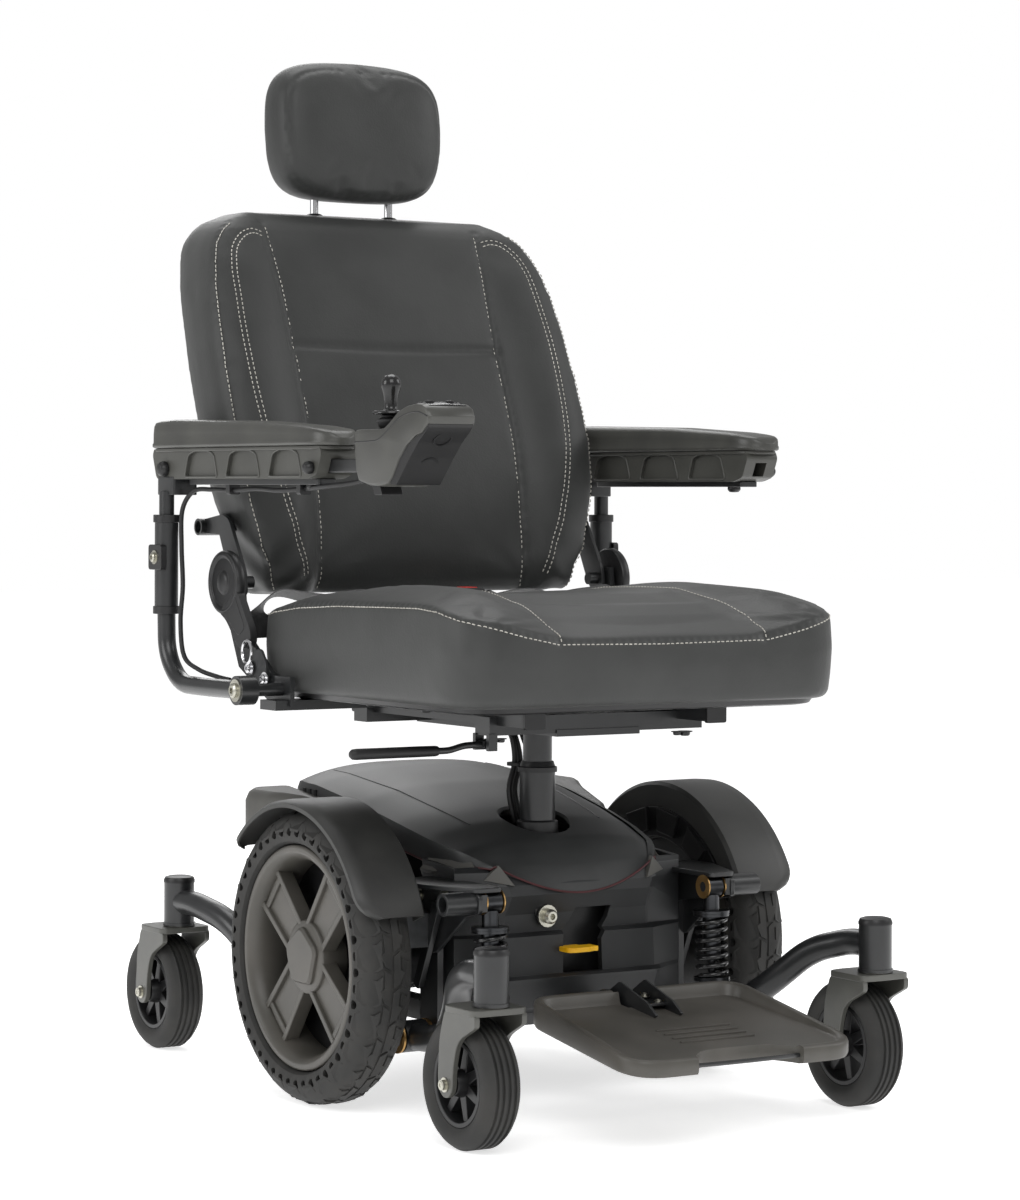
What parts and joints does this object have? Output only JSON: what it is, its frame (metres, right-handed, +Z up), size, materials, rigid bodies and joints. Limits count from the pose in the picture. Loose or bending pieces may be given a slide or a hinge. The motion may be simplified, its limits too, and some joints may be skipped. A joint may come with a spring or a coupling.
{
  "type": "power wheelchair",
  "caption": "Mid-wheel-drive power wheelchair with a padded captain seat, reclining back, headrest, flip-back armrests, joystick controller and foot platform.",
  "frame": {"origin": "on the floor under the middle of the chair", "axes": "+Z up, the chair faces -Y, +X is to the user's left"},
  "size_m": [0.696, 1.065, 1.316],
  "materials": {
    "tyre": "matte",
    "rim_plastic": "satin",
    "painted_steel": "satin powder coat",
    "motor_casting": "cast",
    "fender_plastic": "fine texture",
    "damper_steel": "polished",
    "spring_steel": "gloss",
    "arm_plastic": "fine texture",
    "arm_pad": "soft skin",
    "shell_plastic": "fine texture",
    "shroud_plastic": "fine texture",
    "tail_plastic": "fine texture",
    "battery_case": "moulded",
    "module_case": "moulded",
    "yellow_plastic": "moulded",
    "leather": "grained",
    "cover_plastic": "moulded",
    "chrome_steel": "polished",
    "webbing": "woven",
    "gloss_plastic": "gloss",
    "cable_sheath": "extruded"
  },
  "bodies": {
    "base": {"main_frame": "painted_steel", "base_shell": "shell_plastic", "top_shroud": "shroud_plastic", "tail_cover": "tail_plastic", "batteries": "battery_case", "control_module": "module_case", "footrest_bracket": "painted_steel"},
    "release_tab": {"release_tab": "yellow_plastic"},
    "footplate": {"footplate": "shroud_plastic"},
    "seat_column": {"seat_post": "painted_steel"},
    "seat": {"seat_frame": "painted_steel", "seat_cushion": "leather", "seat_belt": "webbing", "recliner_covers": "cover_plastic"},
    "swivel_lever": {"swivel_lever": "painted_steel"},
    "back": {"back_frame": "painted_steel", "back_cushion": "leather"},
    "headrest": {"headrest_posts": "chrome_steel", "headrest_pad": "leather"},
    "controller": {"controller_housing": "gloss_plastic"},
    "power_button": {"power_button": "gloss_plastic"},
    "joystick_ring": {"joystick_ring": "gloss_plastic"},
    "joystick_stick": {"joystick_stick": "gloss_plastic"},
    "motor_right": {"gear_motor_right": "motor_casting", "fender_right": "fender_plastic"},
    "wheel_right": {"drive_tyre_right": "tyre", "drive_rim_right": "rim_plastic"},
    "front_arm_right": {"front_arm_right": "painted_steel"},
    "rear_arm_right": {"rear_arm_right": "painted_steel"},
    "shock_right": {"shock_body_right": "damper_steel", "shock_spring_right": "spring_steel"},
    "shock_rod_right": {"shock_rod_right": "damper_steel"},
    "front_fork_right": {"front_fork_right": "painted_steel"},
    "front_caster_right": {"front_caster_tyre_right": "tyre", "front_caster_hub_right": "rim_plastic"},
    "rear_fork_right": {"rear_fork_right": "painted_steel"},
    "rear_caster_right": {"rear_caster_tyre_right": "tyre", "rear_caster_hub_right": "rim_plastic"},
    "armrest_right": {"armrest_post_right": "painted_steel"},
    "armrest_top_right": {"armrest_housing_right": "arm_plastic", "armrest_pad_right": "arm_pad", "controller_lead": "cable_sheath"},
    "motor_left": {"gear_motor_left": "motor_casting", "fender_left": "fender_plastic"},
    "wheel_left": {"drive_tyre_left": "tyre", "drive_rim_left": "rim_plastic"},
    "front_arm_left": {"front_arm_left": "painted_steel"},
    "rear_arm_left": {"rear_arm_left": "painted_steel"},
    "shock_left": {"shock_body_left": "damper_steel", "shock_spring_left": "spring_steel"},
    "shock_rod_left": {"shock_rod_left": "damper_steel"},
    "front_fork_left": {"front_fork_left": "painted_steel"},
    "front_caster_left": {"front_caster_tyre_left": "tyre", "front_caster_hub_left": "rim_plastic"},
    "rear_fork_left": {"rear_fork_left": "painted_steel"},
    "rear_caster_left": {"rear_caster_tyre_left": "tyre", "rear_caster_hub_left": "rim_plastic"},
    "armrest_left": {"armrest_post_left": "painted_steel"},
    "armrest_top_left": {"armrest_housing_left": "arm_plastic", "armrest_pad_left": "arm_pad"}
  },
  "joints": [
    {"name": "motor_swing_right", "type": "hinge", "parent": "base", "child": "motor_right", "pos_m": [-0.204, -0.1245, 0.222], "axis": [1, 0, 0], "range_deg": [-3, 3], "stiffness_Nm_per_rad": 20000},
    {"name": "wheel_spin_right", "type": "hinge", "parent": "motor_right", "child": "wheel_right", "pos_m": [-0.272, -0.0205, 0.178], "axis": [1, 0, 0], "continuous": true},
    {"name": "front_arm_swing_right", "type": "hinge", "parent": "base", "child": "front_arm_right", "pos_m": [-0.204, -0.1255, 0.09], "axis": [1, 0, 0], "range_deg": [-4, 4], "stiffness_Nm_per_rad": 15000},
    {"name": "rear_arm_swing_right", "type": "hinge", "parent": "base", "child": "rear_arm_right", "pos_m": [-0.204, 0.0995, 0.1], "axis": [1, 0, 0], "range_deg": [-4, 4], "stiffness_Nm_per_rad": 15000},
    {"name": "shock_swing_right", "type": "hinge", "parent": "base", "child": "shock_right", "pos_m": [-0.16, -0.2305, 0.258], "axis": [1, 0, 0], "range_deg": [-1.2, 1.2]},
    {"name": "shock_travel_right", "type": "slide", "parent": "shock_right", "child": "shock_rod_right", "axis": [0, -0.0298, -0.9996], "range_m": [-0.009, 0.009], "deforming": ["shock_spring_right"]},
    {"name": "front_swivel_right", "type": "hinge", "parent": "front_arm_right", "child": "front_fork_right", "pos_m": [-0.272, -0.412, 0.195], "axis": [0, 0, 1], "continuous": true},
    {"name": "front_caster_spin_right", "type": "hinge", "parent": "front_fork_right", "child": "front_caster_right", "pos_m": [-0.272, -0.37, 0.076], "axis": [1, 0, 0], "continuous": true},
    {"name": "rear_swivel_right", "type": "hinge", "parent": "rear_arm_right", "child": "rear_fork_right", "pos_m": [-0.239, 0.4145, 0.195], "axis": [0, 0, 1], "continuous": true},
    {"name": "rear_caster_spin_right", "type": "hinge", "parent": "rear_fork_right", "child": "rear_caster_right", "pos_m": [-0.239, 0.4565, 0.076], "axis": [1, 0, 0], "continuous": true},
    {"name": "armrest_flip_right", "type": "hinge", "parent": "seat", "child": "armrest_right", "pos_m": [-0.333, 0.0595, 0.497], "axis": [1, 0, 0], "range_deg": [-90, 0]},
    {"name": "armrest_height_right", "type": "slide", "parent": "armrest_right", "child": "armrest_top_right", "axis": [0, 0, 1], "range_m": [0, 0.05]},
    {"name": "motor_swing_left", "type": "hinge", "parent": "base", "child": "motor_left", "pos_m": [0.204, -0.1245, 0.222], "axis": [1, 0, 0], "range_deg": [-3, 3], "stiffness_Nm_per_rad": 20000},
    {"name": "wheel_spin_left", "type": "hinge", "parent": "motor_left", "child": "wheel_left", "pos_m": [0.272, -0.0205, 0.178], "axis": [1, 0, 0], "continuous": true},
    {"name": "front_arm_swing_left", "type": "hinge", "parent": "base", "child": "front_arm_left", "pos_m": [0.204, -0.1255, 0.09], "axis": [1, 0, 0], "range_deg": [-4, 4], "stiffness_Nm_per_rad": 15000},
    {"name": "rear_arm_swing_left", "type": "hinge", "parent": "base", "child": "rear_arm_left", "pos_m": [0.204, 0.0995, 0.1], "axis": [1, 0, 0], "range_deg": [-4, 4], "stiffness_Nm_per_rad": 15000},
    {"name": "shock_swing_left", "type": "hinge", "parent": "base", "child": "shock_left", "pos_m": [0.16, -0.2305, 0.258], "axis": [1, 0, 0], "range_deg": [-1.2, 1.2]},
    {"name": "shock_travel_left", "type": "slide", "parent": "shock_left", "child": "shock_rod_left", "axis": [0, -0.0298, -0.9996], "range_m": [-0.009, 0.009], "deforming": ["shock_spring_left"]},
    {"name": "front_swivel_left", "type": "hinge", "parent": "front_arm_left", "child": "front_fork_left", "pos_m": [0.272, -0.412, 0.195], "axis": [0, 0, 1], "continuous": true},
    {"name": "front_caster_spin_left", "type": "hinge", "parent": "front_fork_left", "child": "front_caster_left", "pos_m": [0.272, -0.37, 0.076], "axis": [1, 0, 0], "continuous": true},
    {"name": "rear_swivel_left", "type": "hinge", "parent": "rear_arm_left", "child": "rear_fork_left", "pos_m": [0.239, 0.4145, 0.195], "axis": [0, 0, 1], "continuous": true},
    {"name": "rear_caster_spin_left", "type": "hinge", "parent": "rear_fork_left", "child": "rear_caster_left", "pos_m": [0.239, 0.4565, 0.076], "axis": [1, 0, 0], "continuous": true},
    {"name": "armrest_flip_left", "type": "hinge", "parent": "seat", "child": "armrest_left", "pos_m": [0.333, 0.0595, 0.497], "axis": [1, 0, 0], "range_deg": [-90, 0]},
    {"name": "armrest_height_left", "type": "slide", "parent": "armrest_left", "child": "armrest_top_left", "axis": [0, 0, 1], "range_m": [0, 0.05]},
    {"name": "release_pull", "type": "slide", "parent": "base", "child": "release_tab", "axis": [0, -1, 0], "range_m": [0, 0.008], "stiffness_N_per_m": 400},
    {"name": "footplate_flip", "type": "hinge", "parent": "base", "child": "footplate", "pos_m": [0, -0.2785, 0.132], "axis": [-1, 0, 0], "range_deg": [0, 80]},
    {"name": "seat_height", "type": "slide", "parent": "base", "child": "seat_column", "axis": [0, 0, 1], "range_m": [0, 0.05]},
    {"name": "seat_swivel", "type": "hinge", "parent": "seat_column", "child": "seat", "pos_m": [0, -0.0855, 0.448], "axis": [0, 0, 1], "range_deg": [0, 90]},
    {"name": "lever_lift", "type": "hinge", "parent": "seat", "child": "swivel_lever", "pos_m": [-0.15, -0.2025, 0.441], "axis": [0, 1, 0], "range_deg": [0, 10], "stiffness_Nm_per_rad": 6, "springref_deg": -11.46},
    {"name": "back_fold", "type": "hinge", "parent": "seat", "child": "back", "pos_m": [0, 0.1855, 0.625], "axis": [1, 0, 0], "range_deg": [-25, 75]},
    {"name": "headrest_height", "type": "slide", "parent": "back", "child": "headrest", "axis": [0, 0, 1], "range_m": [0, 0.06]},
    {"name": "controller_reach", "type": "slide", "parent": "armrest_top_right", "child": "controller", "axis": [0, -1, 0], "range_m": [0, 0.06]},
    {"name": "power_press", "type": "slide", "parent": "controller", "child": "power_button", "axis": [0, 0, -1], "range_m": [0, 0.0015], "stiffness_N_per_m": 600},
    {"name": "joystick_tilt_forward", "type": "hinge", "parent": "controller", "child": "joystick_ring", "pos_m": [-0.31, -0.2515, 0.815], "axis": [1, 0, 0], "range_deg": [-15, 15], "stiffness_Nm_per_rad": 0.3},
    {"name": "joystick_tilt_side", "type": "hinge", "parent": "joystick_ring", "child": "joystick_stick", "pos_m": [-0.31, -0.2515, 0.815], "axis": [0, 1, 0], "range_deg": [-15, 15], "stiffness_Nm_per_rad": 0.3}
  ],
  "couplings": [
    {"joint": "shock_swing_right", "follows": "front_arm_swing_right", "ratio": -0.2293},
    {"joint": "shock_travel_right", "follows": "front_arm_swing_right", "m_per_rad": 0.11},
    {"joint": "shock_swing_left", "follows": "front_arm_swing_left", "ratio": -0.2293},
    {"joint": "shock_travel_left", "follows": "front_arm_swing_left", "m_per_rad": 0.11}
  ]
}
